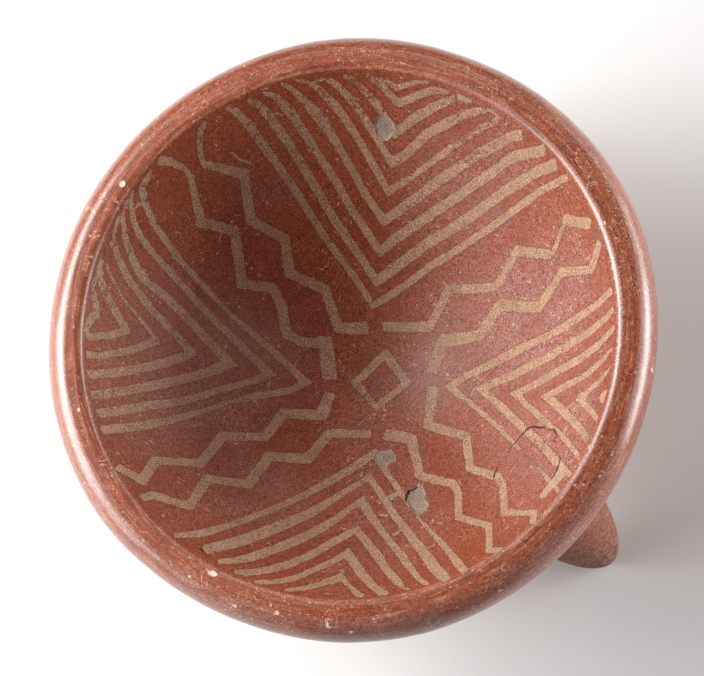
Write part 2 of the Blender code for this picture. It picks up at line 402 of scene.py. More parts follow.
# %% The square and the zigzags
SQUARE_AND_ZIGZAGS = [
    [(-12.2, 5.5, 3.2), (8.3, 8.0, 3.7)],
    [(6.8, 9.3, 4.0), (7.0, -9.8, 3.7)],
    [(8.4, -8.2, 3.0), (-11.6, -8.9, 3.0)],
    [(-10.3, -10.0, 2.9), (-10.9, 7.0, 3.1)],
    [(-21.6, 109.9, 1.2), (-18.5, 110, 2.9), (-16.3, 108.3, 3.1), (-13.7, 104.8, 2.5), (-13.4, 101.9, 2.4),
     (-17.8, 94.8, 2.9), (-22, 88, 4.0), (-12.8, 79.8), (-24, 63), (-14.5, 55.5), (-16, 49), (-22, 38),
     (-19, 32.5), (-11, 26.5, 4.3)],
    [(-9.5, 29, 6.0), (-19, 13, 6.2)],
    [(6.2, 112.3, 0.9), (2, 111.1, 1.9), (-1.6, 108.5, 2.2), (-5.3, 104.2, 2.0), (-5.8, 102.5, 2.7),
     (-1.5, 98.6, 3.1), (5.3, 92.5, 4.0), (-4.6, 79.5), (2.3, 67.5), (-5, 56.5), (2.8, 44),
     (-2.5, 28.5, 4.3), (7.8, 21, 5.5)],
    [(-14.5, -21.5, 5.5), (-6.3, -31, 4.8), (-13, -49, 4.0), (-3.8, -63), (-4.3, -69), (-10.3, -81),
     (-2.3, -96.5), (-8.5, -110), (-4, -114.5, 3.0)],
    [(14.8, -17.2, 5.2), (3, -30.5, 4.3), (13, -47.5, 4.0), (6, -62), (13, -76), (13, -81), (6, -96),
     (16, -108.5), (12.5, -113.5, 3.0)],
    [(-111.5, 15, 3.5), (-107, 6), (-97.8, 13.2), (-84, 5.4, 4.0), (-70, 13.2), (-56, 5.2, 4.0),
     (-43.5, 10.8, 4.5), (-31, 1.8, 5.0), (-22.2, 8.2, 4.6)],
    [(-111.5, -2, 3.8), (-107, -1.8), (-98, -12), (-85.5, -2.2), (-73.5, -11.8), (-59.5, -3.6, 4.4),
     (-47, -12.8, 4.8), (-33, -7, 4.0), (-19, -17.8, 4.0)],
    [(13.2, 17.6, 4.2), (29.3, 4, 4.0), (45.5, 9.8, 3.8), (61.5, -4.9, 3.5), (67, -5, 3.4),
     (78, -2.4, 3.8), (88.3, -17.2, 3.6)],
    [(88, -17.6, 2.2), (101, -13.2, 2.0)],
    [(100.5, -11.8, 4.0), (108, -25, 4.0)],
    [(17.8, -12.3, 5.5), (30.3, -4.8, 5.5), (43.8, -14.8, 4.8), (59, -12.4, 5.0), (71, -27.8, 4.2),
     (87, -26, 3.8), (97, -38, 3.5), (106.5, -33.6, 3.5)],
]

# %% The chevrons at the upper right
UPPER_RIGHT_CHEVRONS = [
    [(15.4, 111, 0.9), (17.2, 110.6, 2.2), (18.4, 108.4, 3.3), (19.4, 102, 3.9), (18.7, 80), (16.7, 60),
     (16.3, 40), (15.3, 27, 2.8), (25, 25, 3.0), (45, 22.2), (65, 16.6), (85, 9.9), (100, 4.4),
     (112.5, -3.2, 3.0)],
    [(24.7, 109.2, 0.9), (26.1, 107.5, 2.3), (27.8, 105.4, 3.3), (28.6, 101.5, 4.4), (28.2, 90.4, 4.1),
     (27, 80), (24.3, 60), (23.4, 40), (22.8, 33.2, 3.4), (30, 32.5, 4.3), (50, 29.5), (70, 23.2),
     (90, 16.9), (105, 9.7), (112, 4.2, 4.2)],
    [(32.3, 107.2, 1.0), (34.1, 105.3, 2.2), (35.8, 102.7, 3.2), (36.8, 97, 4.6), (36.2, 88.5, 3.5),
     (34.6, 70), (33, 60), (31.7, 40.7, 3.4), (40, 40.3, 4.0), (60, 35.7), (80, 29.6), (100, 22.4),
     (112, 12, 3.8)],
    [(40.4, 105.4, 1.0), (42.4, 103, 1.8), (44.1, 97.5, 2.8), (45.2, 91, 4.6), (45, 80, 3.5), (41.6, 60),
     (41, 48, 3.3), (50, 46.2, 3.8), (70, 41.8), (90, 35), (105, 27), (108, 24, 3.8)],
    [(46.3, 102.8, 1.1), (49.4, 100.1, 1.3), (51.5, 97.3, 2.2), (52.9, 91.7, 3.2), (53.8, 85.5, 3.6),
     (52.8, 71), (50, 54.3, 3.0), (60, 51.4, 2.4), (80, 46.2), (95, 40.5), (104, 36, 2.3)],
    [(52.8, 98.3, 1.0), (56.5, 95.6, 1.2), (58.8, 92.8, 2.2), (60.2, 87.3, 3.2), (60.6, 79.5), (59, 65),
     (58.3, 60.3, 3.2), (65, 57.9, 3.5), (77, 56.2), (85, 53, 3.7), (93.3, 49.1, 3.1), (100, 44.4, 2.4),
     (103.5, 41, 1.2)],
    [(63.5, 91.9, 1.5), (65.5, 89.2, 2.2), (67, 84.5, 2.9), (67.9, 76.5, 3.2), (66.8, 65.8, 3.2),
     (75, 63.9, 3.5), (85.7, 60, 3.3), (92.7, 56.4, 2.6), (95.6, 54.2, 2.2)],
    [(71.4, 86.5, 1.1), (72.5, 83.6, 2.2), (74.2, 78.4, 2.7), (75.3, 71.2, 2.8), (79.7, 69, 2.6),
     (86.7, 65.5, 2.5), (90.5, 62.8, 2.3), (96.2, 56.3, 0.8)],
    [(75.3, 82, 1.0), (77.3, 78.3, 1.6), (78.5, 74.7, 2.0), (81.8, 72.8, 1.6), (87.3, 69.4, 1.3),
     (91.2, 65.7, 0.7)],
]

# %% The chevrons at the upper left
UPPER_LEFT_CHEVRONS = [
    [(-24.9, 109.6, 1.0), (-29.7, 107.6, 2.0), (-32.6, 106.3, 2.3), (-35.4, 102.6, 2.7), (-38.3, 94.6, 2.9),
     (-38.9, 80, 2.9), (-37.8, 70, 2.6), (-35.8, 55, 2.0), (-32.2, 40, 3.0), (-29.9, 30, 3.3),
     (-28, 17.5, 3.4), (-35, 17.9, 3.3), (-50, 23.1, 3.0), (-60, 25.4, 1.8), (-80, 27.1, 3.0),
     (-90, 28.3, 4.0), (-108, 32, 3.9)],
    [(-36, 107.3, 0.8), (-41.2, 103.1, 1.5), (-44.8, 97.4, 2.3), (-46.1, 92.4, 2.7), (-46.1, 86.8, 2.8),
     (-43.5, 60, 3.2), (-40.1, 40), (-38, 28, 3.7), (-45, 28.5, 3.0), (-60, 31.6, 2.8), (-75, 33, 3.2),
     (-85, 35.7, 4.2), (-105, 38.8, 4.0)],
    [(-40.8, 105.2, 0.6), (-46.7, 101.2, 1.2), (-51.6, 94.6, 2.4), (-55.4, 85, 3.3), (-55.7, 79.4, 3.7),
     (-52.7, 70, 3.5), (-50.2, 50, 4.0), (-49, 39, 4.0), (-60, 39.8), (-80, 42.9), (-102.5, 46.5, 3.8)],
    [(-47.9, 101.7, 0.5), (-54.4, 97.3, 1.2), (-58.4, 91.4, 2.3), (-61, 81.9, 3.0), (-61.2, 70),
     (-59.3, 55), (-59, 49, 3.2), (-70, 49.5, 3.8), (-90, 52.6), (-98.5, 54.8, 3.6)],
    [(-63.9, 90.3, 0.8), (-65.6, 86.5, 0.9), (-67.3, 79, 1.1), (-67.7, 75), (-67.2, 65), (-67.4, 59, 1.4)],
    [(-66.5, 58.3, 3.0), (-80, 58.6), (-90, 60.4), (-94, 62, 2.8)],
    [(-62.3, 93.7, 0.6), (-67.5, 89.2, 1.4), (-70.7, 83.9, 2.5), (-72.6, 79, 2.7), (-74.1, 70),
     (-75, 66, 3.0), (-80, 66), (-89.5, 68, 2.8)],
    [(-68.5, 88.4, 0.8), (-74.6, 84.1, 1.3), (-77.5, 79), (-80.5, 74.5, 2.6), (-84, 73.5, 2.5),
     (-88.5, 70, 1.4)],
]

# %% The chevrons at the lower right
LOWER_RIGHT_CHEVRONS = [
    [(29.5, -109, 2.2), (29, -95, 1.7), (28.4, -85, 1.0), (28, -77, 1.0), (27.3, -70, 2.0), (27, -65, 1.7),
     (26.3, -55, 2.4), (25.5, -50, 2.1), (24, -40, 2.2), (22.8, -33, 2.4), (21.3, -28, 2.8),
     (20.6, -22.9, 3.5), (25, -23.8, 2.9), (30, -24.8, 3.0), (40, -28.6, 3.8), (50, -32.5, 4.1),
     (60, -37.2, 3.5), (70, -42.6, 3.6), (80, -47.1, 3.9), (90, -51.8, 3.4), (98, -53.8, 3.2)],
    [(37, -106.5, 2.3), (37, -100, 2.8), (36.3, -93, 3.7), (36.2, -85, 3.5), (35.6, -75, 3.5),
     (33.7, -60, 3.5), (32.8, -50, 3.4), (31.3, -40, 3.0), (30.6, -34.1, 3.2), (35, -35.9, 3.9),
     (45, -40.9, 3.7), (55, -45.1, 4.3), (60, -47.8, 4.0), (70, -52.3, 3.8), (80, -57.2, 3.8),
     (90, -60.6, 3.0), (94, -60.6, 2.8)],
    [(44.2, -103.3, 1.8), (44.9, -97, 2.0), (44.9, -90, 2.5), (44.8, -80, 1.6), (43.8, -75, 2.1),
     (43.2, -70, 3.1), (42.5, -65, 2.7), (41.2, -55, 2.4), (40.7, -48.6, 3.2), (45, -50.6, 3.1),
     (50, -52.9, 3.4), (55, -54.9, 3.9), (60, -57, 3.5), (70, -62.2, 3.8), (80, -66, 3.6),
     (89.3, -67.5, 2.4)],
    [(51.5, -99.8, 2.8), (52.5, -90, 3.3), (52.2, -82, 3.3), (51.7, -75, 3.6), (50.7, -65, 3.3),
     (50.1, -61.8, 3.4), (55, -64.2, 3.2), (60, -66.5, 3.5), (65, -69.4, 3.1), (70, -71.8, 3.2),
     (75, -72.8, 3.0), (80, -73.6, 2.2), (83.5, -73.8, 1.6)],
    [(60.1, -95, 2.0), (60.5, -88, 2.4), (60.3, -82, 2.5), (60, -77.2, 2.8), (65, -78.5, 3.0),
     (70, -79.6, 2.4), (78, -80, 1.5)],
    [(59.4, -76.6, 4.2), (63.5, -78.6, 3.4)],
    [(66.0, -90.2, 1.2), (67.6, -86.9, 3.2), (71.2, -86.2, 1.0)],
]

# %% The chevrons at the lower left
LOWER_LEFT_CHEVRONS = [
    [(-21.6, -113, 3.2), (-22, -105, 3.8), (-22.4, -90, 2.6), (-23.3, -80, 2.1), (-24.1, -68, 1.3),
     (-24.3, -60, 1.4), (-23.8, -50, 2.4), (-23.6, -40, 2.4), (-22.9, -33, 3.3), (-22.5, -26.6, 3.5),
     (-30, -26.8, 3.9), (-40, -27.4, 3.9), (-60, -27.8, 3.4), (-80, -27.7, 3.1), (-90, -27.5, 3.5),
     (-100, -26.9, 4.2), (-109.5, -24, 2.6)],
    [(-29.5, -111, 3.2), (-30.4, -105, 4.8), (-30.9, -100, 5.1), (-30.9, -90, 4.5), (-31.5, -70, 3.6),
     (-31.6, -60, 3.1), (-31, -45, 2.9), (-30.6, -35.5, 2.8), (-40, -35.4, 2.9), (-50, -36.4, 3.6),
     (-60, -37.4, 4.7), (-70, -37.3, 5.8), (-90, -37.1, 6.2), (-103.3, -35.5, 5.4)],
    [(-37.3, -107, 2.0), (-39, -100, 2.4), (-39.2, -88, 3.2), (-39.1, -82, 3.6), (-39.8, -70, 2.8),
     (-39.9, -55, 3.6), (-39.4, -44.2, 4.0), (-45, -44.3, 3.0), (-50, -45.7, 3.7), (-60, -47.1, 4.6),
     (-70, -47.7, 5.1), (-80, -47.7, 5.1), (-90, -47.3, 4.8), (-95, -46.4, 4.0), (-101.5, -43.8, 2.8)],
    [(-44.6, -104, 1.4), (-46.2, -100, 1.8), (-46.7, -96, 3.2), (-47.2, -90, 3.7), (-47.6, -85, 3.3),
     (-47.3, -75, 4.0), (-47.9, -62, 3.4), (-48.1, -56, 3.5), (-60, -56.9, 4.2), (-70, -58.2, 4.2),
     (-80, -58.3, 4.3), (-90, -56.3, 4.0), (-95, -54.5, 3.6), (-98.5, -51.8, 2.2)],
    [(-52.8, -99.5, 1.8), (-54.5, -97, 3.4), (-56, -90, 3.7), (-57, -80, 3.9), (-56.9, -65.8, 3.9),
     (-65, -66.6, 3.3), (-80, -66.8, 3.2), (-85, -65.7, 3.1), (-90, -63.5, 2.9), (-94.5, -60.8, 1.5)],
    [(-61.8, -93.5, 1.8), (-63.1, -90, 2.9), (-63.7, -85, 1.9), (-64.4, -80, 2.2), (-64.7, -76.5, 3.0),
     (-70, -76.2, 4.2), (-75, -75.6, 3.1), (-80, -74.2, 2.9), (-85, -71.9, 1.8), (-86.5, -70.8, 1.2)],
    [(-63.4, -77.2, 4.9), (-70, -76.4, 4.4)],
    [(-69, -87, 1.3), (-71.5, -84, 1.5), (-74, -81.5, 1.1)],
]

# %% All the strokes
STROKES = (SQUARE_AND_ZIGZAGS + UPPER_RIGHT_CHEVRONS + UPPER_LEFT_CHEVRONS + LOWER_RIGHT_CHEVRONS
           + LOWER_LEFT_CHEVRONS)
print(len(STROKES), "strokes with", sum(len(stroke) for stroke in STROKES), "points")

# %% [markdown]
# ## Laying the strokes on the bowl
# Every point of the inside gets one number: how far it is from the edge of the nearest stroke, and
# below nought where it is painted. A material can then put the edge exactly where the number is
# nought, roughen it with noise and fade it. A stroke's sides are drawn parallel to its middle line,
# with pointed bends and square ends.

# %% Distances to the strokes
PLAN_TURN = math.radians(15.2)      # from the bowl's own directions to those of the painting
NEAR = 4.0                          # mm beyond a stroke in which its distance matters
HALF_BRUSH = 3                      # mm, about half the widest stroke
OWN_NOISE = 7.3                     # keeps the noise of one stroke apart from the next one's


def on_plan(spots):
    """Points of the bowl on the plan of the painting, in mm."""
    c, s = math.cos(PLAN_TURN), math.sin(PLAN_TURN)
    return np.stack([c * spots[:, 0] - s * spots[:, 1], s * spots[:, 0] + c * spots[:, 1]], axis=1) / MM


def widths_of(stroke, line):
    """The brush's width at each point, in between where none is given."""
    lengths = lengths_along(line)
    given = [(length, point[2]) for length, point in zip(lengths, stroke) if len(point) > 2]
    return np.interp(lengths, *zip(*given))


def sides_of(line, widths):
    """The outline of a stroke, down one side and back up the other."""
    ahead = np.diff(line, axis=0)
    ahead /= np.hypot(*ahead.T)[:, None]
    square = np.stack([-ahead[:, 1], ahead[:, 0]], axis=1)
    before, after = np.vstack([square[:1], square]), np.vstack([square, square[-1:]])
    middle = before + after
    middle /= np.hypot(*middle.T)[:, None]
    reach = widths / 2 / np.maximum((middle * before).sum(axis=1), 0.5)
    return np.vstack([line + middle * reach[:, None], (line - middle * reach[:, None])[::-1]])


def to_segments(points, start, end):
    """For each point and each segment: the distance, the place along and the side."""
    way = end - start
    long = np.maximum((way ** 2).sum(axis=1), 1e-9)
    offset = points[:, None] - start[None]
    share = np.clip((offset * way).sum(axis=2) / long, 0, 1)
    apart = offset - share[..., None] * way
    side = (way[:, 0] * offset[..., 1] - way[:, 1] * offset[..., 0]) / np.sqrt(long)
    return np.hypot(apart[..., 0], apart[..., 1]), share, side


def within(points, outline):
    """Which points lie inside a closed outline."""
    start, end = outline, np.roll(outline, -1, axis=0)
    x, y = points[:, :1], points[:, 1:]
    crosses = (start[:, 1] > y) != (end[:, 1] > y)
    rise = np.where(end[:, 1] == start[:, 1], 1e-9, end[:, 1] - start[:, 1])
    meets = (end[:, 0] - start[:, 0]) * (y - start[:, 1]) / rise + start[:, 0]
    return (crosses & (x < meets)).sum(axis=1) % 2 == 1


def edge_distance(points, outline):
    """Distance to a closed outline, below nought inside it."""
    gap = to_segments(points, outline, np.roll(outline, -1, axis=0))[0].min(axis=1)
    return np.where(within(points, outline), -gap, gap)


def lay_strokes(points):
    """Distance to the nearest stroke's edge, and the place along and across that stroke."""
    paint = np.full(len(points), NEAR)
    brush = np.zeros((len(points), 3))
    for number, stroke in enumerate(STROKES):
        line = np.array([point[:2] for point in stroke], dtype=float)
        low, high = line.min(axis=0) - NEAR - HALF_BRUSH, line.max(axis=0) + NEAR + HALF_BRUSH
        close = np.flatnonzero(((points > low) & (points < high)).all(axis=1))
        gap = edge_distance(points[close], sides_of(line, widths_of(stroke, line)))
        apart, share, side = to_segments(points[close], line[:-1], line[1:])
        nearest = apart.argmin(axis=1)
        rows = np.arange(len(close))
        lengths = lengths_along(line)
        reached = lengths[nearest] + share[rows, nearest] * np.diff(lengths)[nearest]
        place = np.stack([reached, side[rows, nearest], np.full(len(close), OWN_NOISE * number)], axis=1)
        better = gap < paint[close]
        paint[close[better]] = gap[better]
        brush[close[better]] = place[better]
    return paint, brush


test_point = np.array([[0.0, 7.0]])
print("a test point in the square's top line:", round(float(lay_strokes(test_point)[0][0]), 2), "mm")

# %% [markdown]
# ## Old damage
# The bowl has spalls where flakes came off the inside and were filled with grey, fine cracks, pits,
# scratches, and small chips along the lip. Their outlines are also written down. The mesh is
# subdivided round them first, so that a flake has a real edge and a crack a real groove.

# %% The damage
SPALLS = [     # outline on the plan, depth in mm
    ([(-24.2, -56.3), (-22, -53.2), (-20, -52.6), (-16.2, -53.3), (-14.3, -54), (-15.2, -57), (-15.5, -59.5),
      (-17.2, -60.2), (-16.8, -62.5), (-17.2, -65), (-19.5, -66.7), (-22, -67.2), (-24.8, -66.8),
      (-24.7, -63), (-24.2, -60)], 0.55),
    ([(-24.3, -28.5), (-22.5, -26.8), (-20, -26.7), (-18.5, -28.3), (-16, -29.3), (-16.2, -34),
      (-17.5, -35.8), (-20, -35), (-23, -34.9), (-25, -34), (-24.5, -31)], 0.3),
    ([(60.5, 68), (62.5, 66.2), (66, 66), (68.8, 67.5), (69, 71), (67.5, 73.8), (64.5, 74.5), (61.5, 73),
      (60.2, 70.5)], 0.45),
    ([(-29.8, -49.2), (-27.5, -48.6), (-24.2, -49.5), (-24.2, -51), (-27, -51.6), (-29.5, -50.9)], 0.15),
    ([(-36.2, 104.5), (-34.6, 106.4), (-32.4, 106), (-32.8, 103.8), (-34.6, 102.8)], 0.1),
]
PATCHES = [    # outline on the plan of places where the slip wore off the buff clay
    [(21.5, -104.5), (22, -102.5), (25, -100.8), (30, -99.8), (33, -98.3), (35.5, -97), (38, -93.8),
     (38.2, -97), (36, -100.5), (35.5, -104), (31, -104.6), (26, -104.8), (23.5, -105.8)],
    [(97, 55.2), (98.3, 53.3), (99.2, 51.1), (100.1, 48.8), (99.1, 48.5), (97.7, 50.4), (95.8, 53.6)],
]
CRACKS = [     # line on the plan, width at its middle and depth in mm
    ([(23, -68.8), (25, -68), (28, -67.8), (30, -67.7), (32, -67.2), (34.5, -66.9), (36.5, -67.2),
      (38.3, -68.8), (39.3, -71), (41, -73), (42, -74.5)], 0.75, 0.5),
    ([(42.6, -76.5), (43.6, -77.7), (44.2, -79.5), (43.5, -81.5), (41.5, -82.8)], 0.6, 0.4),
    ([(38.7, -92.5), (37.8, -94.5), (35, -97), (33, -98.3), (29.5, -99.8)], 0.8, 0.3),
    ([(10.5, -76), (13.5, -73), (16, -71)], 0.5, 0.3),
    ([(-24.3, -56.4), (-22.6, -53.8), (-20, -52.5), (-18.3, -53.1), (-15.8, -53.1)], 0.9, 0.7),
    ([(-104.2, -33.4), (-103.6, -36.4)], 1.1, 0.9),
]
PITS = [(-7.5, 0.5, 0.7), (-4, -9.8, 0.6), (20.5, 14, 0.7), (-34.8, -35, 0.5), (43.7, -50.8, 0.6),
        (85.8, -49.2, 0.8), (67, -69.3, 0.6), (-63.8, -50.1, 0.6), (41, -83.8, 0.8)]
SCRATCHES = [
    ([(-22, -11), (-16, -10.3)], 0.5), ([(57.3, -25), (58.6, -24), (59, -22)], 0.5),
    ([(98, -32), (98.8, -35.4)], 0.5), ([(73, -33), (73.5, -37)], 0.4), ([(79.3, -36), (80, -39.5)], 0.4),
    ([(80.2, -41), (80.6, -44)], 0.4), ([(-38.3, -69), (-33.2, -69.2)], 0.8),
    ([(25, -33.3), (27, -32.1), (29, -31.9)], 0.45), ([(31.4, -27), (33, -31.2)], 0.45),
    ([(54, -75), (57.5, -77)], 0.55), ([(54, -78.2), (59, -79.2)], 0.6), ([(45, -69.5), (46.5, -67.2)], 0.6),
    ([(39, -99), (42, -100.5)], 0.7), ([(17.5, -79.5), (22.5, -77.5)], 0.4),
    ([(-76.3, -73.5), (-75.2, -71)], 0.4),
    ([(-41.8, 101.5), (-39.8, 102.2), (-38, 102.6), (-37.3, 101.9), (-35.5, 102.3)], 0.9),
    ([(-56.9, 95.9), (-58.3, 94.2), (-57.7, 92.9), (-55.5, 93.4)], 0.6),
    ([(103, 41.4), (104.3, 39.4), (104.9, 34.5)], 0.8), ([(6, 100.5), (7.5, 97), (11, 93)], 0.9),
]
CHIP_DEPTH = 0.32
RIM_CHIPS = [  # angle round the rim in degrees, distance from the middle, length, width in mm
    (189.0, 116.4, 4.4, 2.8), (180.8, 122.6, 1.0, 0.8), (185.2, 122.2, 0.8, 0.6),
    (195.8, 124.7, 2.4, 1.3), (204.3, 122.2, 1.8, 1.4), (205.6, 123.3, 1.4, 0.7),
    (214.3, 123.9, 1.4, 3.2), (214.9, 125.3, 1.8, 0.9), (218.8, 127.0, 1.3, 0.9),
    (93.8, 118.0, 2.9, 2.6), (101.5, 126.5, 1.2, 0.8), (60.0, 127.5, 1.4, 0.9),
    (15.0, 127.8, 1.6, 0.8), (300.0, 128.4, 2.0, 1.1), (248.0, 128.0, 1.7, 1.0),
    (330.0, 116.2, 1.6, 0.9), (143.0, 118.6, 1.3, 0.8),
]
print(len(SPALLS), "spalls,", len(CRACKS), "cracks,", len(PITS), "pits,", len(RIM_CHIPS), "chips on the lip")


# %% Distances to the damage
SEED = 7                                # vector noise starts from the clock without one
RAGGED_WAVES, RAGGED_PUSH = 0.8, 0.45   # waves per mm, and mm
LIP_AT, LIP_ROUND = 120, 10.2           # in mm, the middle and half the width of the lip's roll
LEAST_SLOPE = 0.15                      # keeps chips at the lip's edge from growing too long
noise.seed_set(SEED)


def line_distance(points, line, width):
    """Distance to the edge of a thin line that tapers to both ends."""
    line = np.array(line, dtype=float)
    apart, share, _ = to_segments(points, line[:-1], line[1:])
    nearest = apart.argmin(axis=1)
    rows = np.arange(len(points))
    progress = (nearest + share[rows, nearest]) / (len(line) - 1)
    return apart[rows, nearest] - width / 2 * np.sqrt(np.clip(4 * progress * (1 - progress), 0.1, 1))


def inside_of_bowl(spots):
    """Which points belong to the hollow side of the wall."""
    out = np.hypot(spots[:, 0], spots[:, 1])
    return (out < BEAD_MIDDLE) & (spots[:, 2] > inside_height(out) - WALL / 2)


def jagged(points):
    """Points on the plan, pushed about a little, so that drawn lines come out ragged."""
    rows = np.flatnonzero((np.abs(points) < 120).all(axis=1))
    waves = points[rows] * RAGGED_WAVES
    push = [noise.noise_vector(Vector((x, y, 0.0)))[:2] for x, y in waves]
    moved = points.copy()
    moved[rows] += RAGGED_PUSH * np.array(push)
    return moved


def damage(spots):
    """Distances in mm to the edges of spalls, of cracks and of pale marks, for each point."""
    points = jagged(on_plan(spots))
    far = np.full(len(spots), NEAR)
    bare, crack, mark = far.copy(), far.copy(), far.copy()
    rows = np.flatnonzero(inside_of_bowl(spots))
    for outline, _ in SPALLS:
        bare[rows] = np.minimum(bare[rows], edge_distance(points[rows], np.array(outline)))
    for line, width, _ in CRACKS:
        crack[rows] = np.minimum(crack[rows], line_distance(points[rows], line, width))
    for x, y, size in PITS:
        crack[rows] = np.minimum(crack[rows], np.hypot(*(points[rows] - (x, y)).T) - size / 2)
    for line, width in SCRATCHES:
        mark[rows] = np.minimum(mark[rows], line_distance(points[rows], line, width))
    for outline in PATCHES:
        mark[rows] = np.minimum(mark[rows], edge_distance(points[rows], np.array(outline)))
    return bare, crack, mark


def chip_distance(spots):
    """Distance in mm to the edge of the nearest chip on the lip, with ragged outlines."""
    angle = np.degrees(np.arctan2(spots[:, 1], spots[:, 0]))
    out = np.hypot(spots[:, 0], spots[:, 1]) / MM
    found = np.full(len(spots), NEAR)
    rows = np.flatnonzero((spots[:, 2] > RIM_LINE_HEIGHT - LIP_DROP) & (out > BEAD_MIDDLE / MM - 2))
    for turn, distance, length, width in RIM_CHIPS:
        round_ = np.radians((angle[rows] - turn + 180) % 360 - 180) * out[rows]
        slope = np.sqrt(np.clip(1 - ((distance - LIP_AT) / LIP_ROUND) ** 2, LEAST_SLOPE, 1))
        away = (out[rows] - distance) / slope
        ring = np.hypot(round_ / (length / 2), away / (width / 2))
        found[rows] = np.minimum(found[rows], (ring - 1) * min(length, width) / 2)
    return found


test_chip = chip_distance(np.array([[0.0, -0.1284, RIM_LINE_HEIGHT]]))
print("from a point on the lip to its nearest chip:", round(float(test_chip[0]), 2), "mm")

# %% A finer mesh round the damage
for reach in (1.6, 0.9):
    spots = places(bowl)
    bare, crack, mark = damage(spots)
    chips = chip_distance(spots)
    pick(bowl, (np.abs(bare) < reach) | (crack < reach) | (mark < 0.7 * reach) | (chips < reach))
    in_edit_mode(bowl, lambda: bpy.ops.mesh.subdivide(number_cuts=1))
print("after subdividing:", len(bowl.data.vertices), "points")

# %% The flakes, cracks and chips as real hollows
PIT_DEPTH, EDGE, FLAKE_EDGE, CHIP_EDGE = 0.3, 0.5, 0.7, 0.4     # all in mm
ROUGH_WAVES = 420                                              # per metre
spots = places(bowl)
points = jagged(on_plan(spots))
rows = np.flatnonzero(inside_of_bowl(spots))
hollow_depth = np.zeros(len(spots))
rough = np.array([noise.noise(Vector(spot) * ROUGH_WAVES) for spot in spots])


def sink(depths):
    """Deepens the hollows of the inside where they are less than these depths."""
    hollow_depth[rows] = np.maximum(hollow_depth[rows], depths)


for outline, depth in SPALLS:
    gap = edge_distance(points[rows], np.array(outline)) + 0.25 * rough[rows]
    sink(np.clip(-gap / FLAKE_EDGE, 0, 1) * (depth + 0.12 * rough[rows]))
for line, width, depth in CRACKS:
    sink(depth * np.clip(0.5 - line_distance(points[rows], line, width) / EDGE, 0, 1))
for x, y, size in PITS:
    gap = np.hypot(*(points[rows] - (x, y)).T) - size / 2
    sink(PIT_DEPTH * np.clip(0.5 - gap / EDGE, 0, 1))
chips = chip_distance(spots) + 0.35 * rough
hollow_depth = np.maximum(hollow_depth, CHIP_DEPTH * np.clip(-chips / CHIP_EDGE, 0, 1))
put(bowl, spots - places(bowl, "normal") * (hollow_depth * MM)[:, None])
print("deepest hollow:", round(float(hollow_depth.max()), 2), "mm")

# %% [markdown]
# ## Numbers for the finish
# The paint, the bare clay and the worn places follow the surface, so each becomes an attribute that
# the material reads at every point.

# %% Worn places, and spots of dust bloom and painted sheen
# each row is a place on the plan, a reach in mm and a strength
WORN = [(90, 42, 10, 0.8), (101, 38, 9, 0.5), (4, 106, 11, 0.5), (-74, 80, 12, 0.5), (-58, 94, 9, 0.6),
        (-34, 104, 9, 0.6), (-10.5, -2, 6, 0.6), (68, 86, 12, 0.8), (54, 95, 12, 0.6), (40, 101, 12, 0.5),
        (24, 104, 13, 0.5), (32, 82, 16, 0.25), (48, 80, 14, 0.3), (97, 58, 8, 0.5), (-71, -84, 6, 0.8),
        (-45, -102, 4, 0.6), (28, -80, 8, 1.2), (51, -101, 5, 0.8), (-60, 60, 9, 0.5), (-98, 45, 9, 0.5),
        (60, 52, 9, 0.5)]
# spots of pale bloom inside: partly dust, partly painted sheen laid where the lamps' light falls
DUST_AND_SHEEN_SPOTS = [(62, -32, 42, 1.1), (0, -8, 50, 0.30), (82, 28, 36, 0.8), (-72, 26, 32, 0.8), (-75, -12, 32, 0.6),
        (40, -76, 40, 0.9), (-32, -62, 36, 0.5), (-68, -22, 22, 0.8), (8, 84, 14, 0.35), (-35, -40, 14, 0.6)]
# spots on the lip's outer face at the front: partly pale bloom, partly painted light from the floor
RIM_BLOOM_AND_PAINTED_LIGHT = [(-128, -5, 40, 0.6), (-110, -68, 42, 1.0), (-60, -114, 42, 1.0), (2, -128, 38, 0.8)]


def soft_spots(points, blots):
    """Round soft patches, the strongest where they overlap."""
    value = np.zeros(len(points))
    for x, y, radius, strength in blots:
        gap = np.hypot(points[:, 0] - x, points[:, 1] - y) / radius
        value = np.maximum(value, strength * np.exp(-gap ** 2))
    return value


# the dusty ones are pale bloom that is partly painted sheen and light
print(len(WORN), "worn places,", len(DUST_AND_SHEEN_SPOTS) + len(RIM_BLOOM_AND_PAINTED_LIGHT), "dusty ones")


# %% The attributes
def attribute(name, values, kind="FLOAT"):
    """Stores one number or three at every point of the bowl."""
    made = bowl.data.attributes.new(name, kind, "POINT")
    slot = "vector" if kind == "FLOAT_VECTOR" else "value"
    made.data.foreach_set(slot, values.astype(np.float32).ravel())


points = on_plan(spots)
hollow_side = inside_of_bowl(spots)
out = np.hypot(spots[:, 0], spots[:, 1])
paint = np.full(len(spots), NEAR)
brush = np.zeros((len(spots), 3))
paint[hollow_side], brush[hollow_side] = lay_strokes(points[hollow_side])
bare, crack, mark = damage(spots)
leg_gap, leg_reach = off_leg(spots)
ring = spots[:, :2] / np.maximum(out, MM)[:, None] * 8
worn_leg = np.clip(1.2 - leg_reach / (70 * MM), 0.35, 1)      # more towards the tip
rim_side = np.clip((out / MM - 121) / 4, 0, 1)
# a pale line on the bead: partly worn slip, partly a painted highlight
ridge_wear_and_highlight_band = np.exp(-((out - MOUTH_RADIUS - 0.4 * MM) / (0.55 * MM)) ** 2)
below_lip = np.clip((lip_foot + 4 * MM - spots[:, 2]) / (8 * MM), 0, 1)
attribute("brush", brush, "FLOAT_VECTOR")
attribute("ring", np.c_[ring, (out - spots[:, 2]) / MM * 1.4], "FLOAT_VECTOR")
